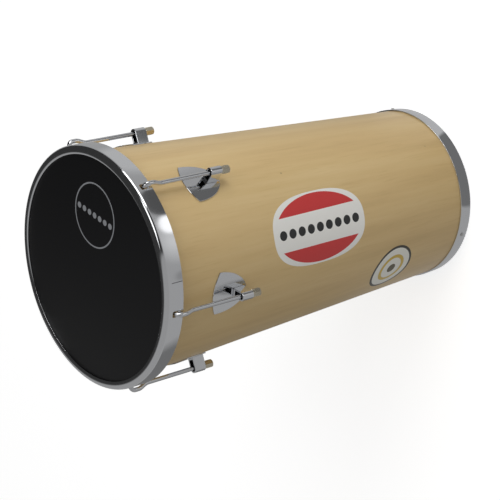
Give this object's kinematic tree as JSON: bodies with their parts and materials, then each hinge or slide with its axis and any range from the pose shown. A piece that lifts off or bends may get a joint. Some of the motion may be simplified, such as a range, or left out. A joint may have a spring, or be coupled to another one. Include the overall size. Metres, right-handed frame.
{
  "type": "rebolo drum",
  "caption": "Single-headed conical wooden hand drum with a black skin, a chromed tension hoop pulled down by hooked rods on shell lugs, and an open lower end.",
  "frame": {"origin": "centre of the open end's rim, on the surface that the drum stands on", "axes": "+Z along the drum's axis towards the head; +X through the first lug"},
  "size_m": [0.3428, 0.3268, 0.5925],
  "materials": {
    "pale_wood": "satin lacquer",
    "chrome": "polished",
    "rod_chrome": "polished",
    "black_skin": "matte",
    "nut_metal": "dull plated",
    "zinc_steel": "zinc plated",
    "aluminium": "satin"
  },
  "bodies": {
    "drum": {"shell": "pale_wood", "head_skin": "black_skin", "flesh_ring": "aluminium", "open_end_band": "chrome", "lug_plate_1": "chrome", "lug_plate_2": "chrome", "lug_plate_3": "chrome", "lug_plate_4": "chrome", "lug_plate_5": "chrome", "lug_plate_6": "chrome", "rod_bracket_1": "chrome", "rod_bracket_2": "chrome", "rod_bracket_3": "chrome", "rod_bracket_4": "chrome", "rod_bracket_5": "chrome", "rod_bracket_6": "chrome", "lug_bolt_1": "zinc_steel", "lug_bolt_2": "zinc_steel", "lug_bolt_3": "zinc_steel", "lug_bolt_4": "zinc_steel", "lug_bolt_5": "zinc_steel", "lug_bolt_6": "zinc_steel", "bolt_washer_1": "zinc_steel", "bolt_washer_2": "zinc_steel", "bolt_washer_3": "zinc_steel", "bolt_washer_4": "zinc_steel", "bolt_washer_5": "zinc_steel", "bolt_washer_6": "zinc_steel", "band_screw_1": "zinc_steel", "band_screw_2": "zinc_steel", "band_screw_3": "zinc_steel"},
    "hoop_and_rods": {"tension_hoop": "chrome", "tension_rod_1": "rod_chrome", "tension_rod_2": "rod_chrome", "tension_rod_3": "rod_chrome", "tension_rod_4": "rod_chrome", "tension_rod_5": "rod_chrome", "tension_rod_6": "rod_chrome"},
    "nut_1": {"tension_nut_1": "nut_metal"},
    "nut_2": {"tension_nut_2": "nut_metal"},
    "nut_3": {"tension_nut_3": "nut_metal"},
    "nut_4": {"tension_nut_4": "nut_metal"},
    "nut_5": {"tension_nut_5": "nut_metal"},
    "nut_6": {"tension_nut_6": "nut_metal"}
  },
  "joints": [
    {"name": "hoop_slack", "type": "slide", "parent": "drum", "child": "hoop_and_rods", "axis": [0, 0, 1], "range_m": [0, 0.003]},
    {"name": "nut_1_turn", "type": "hinge", "parent": "drum", "child": "nut_1", "pos_m": [0.1637, 0, 0.4486], "axis": [0, 0, 1], "range_deg": [-1081, 0]},
    {"name": "nut_2_turn", "type": "hinge", "parent": "drum", "child": "nut_2", "pos_m": [0.08185, 0.14177, 0.4486], "axis": [0, 0, 1], "range_deg": [-1081, 0]},
    {"name": "nut_3_turn", "type": "hinge", "parent": "drum", "child": "nut_3", "pos_m": [-0.08185, 0.14177, 0.4486], "axis": [0, 0, 1], "range_deg": [-1081, 0]},
    {"name": "nut_4_turn", "type": "hinge", "parent": "drum", "child": "nut_4", "pos_m": [-0.1637, 0, 0.4486], "axis": [0, 0, 1], "range_deg": [-1081, 0]},
    {"name": "nut_5_turn", "type": "hinge", "parent": "drum", "child": "nut_5", "pos_m": [-0.08185, -0.14177, 0.4486], "axis": [0, 0, 1], "range_deg": [-1081, 0]},
    {"name": "nut_6_turn", "type": "hinge", "parent": "drum", "child": "nut_6", "pos_m": [0.08185, -0.14177, 0.4486], "axis": [0, 0, 1], "range_deg": [-1081, 0]}
  ],
  "couplings": [
    {"joint": "nut_1_turn", "follows": "hoop_slack", "rad_per_m": -6283.2},
    {"joint": "nut_2_turn", "follows": "hoop_slack", "rad_per_m": -6283.2},
    {"joint": "nut_3_turn", "follows": "hoop_slack", "rad_per_m": -6283.2},
    {"joint": "nut_4_turn", "follows": "hoop_slack", "rad_per_m": -6283.2},
    {"joint": "nut_5_turn", "follows": "hoop_slack", "rad_per_m": -6283.2},
    {"joint": "nut_6_turn", "follows": "hoop_slack", "rad_per_m": -6283.2}
  ]
}
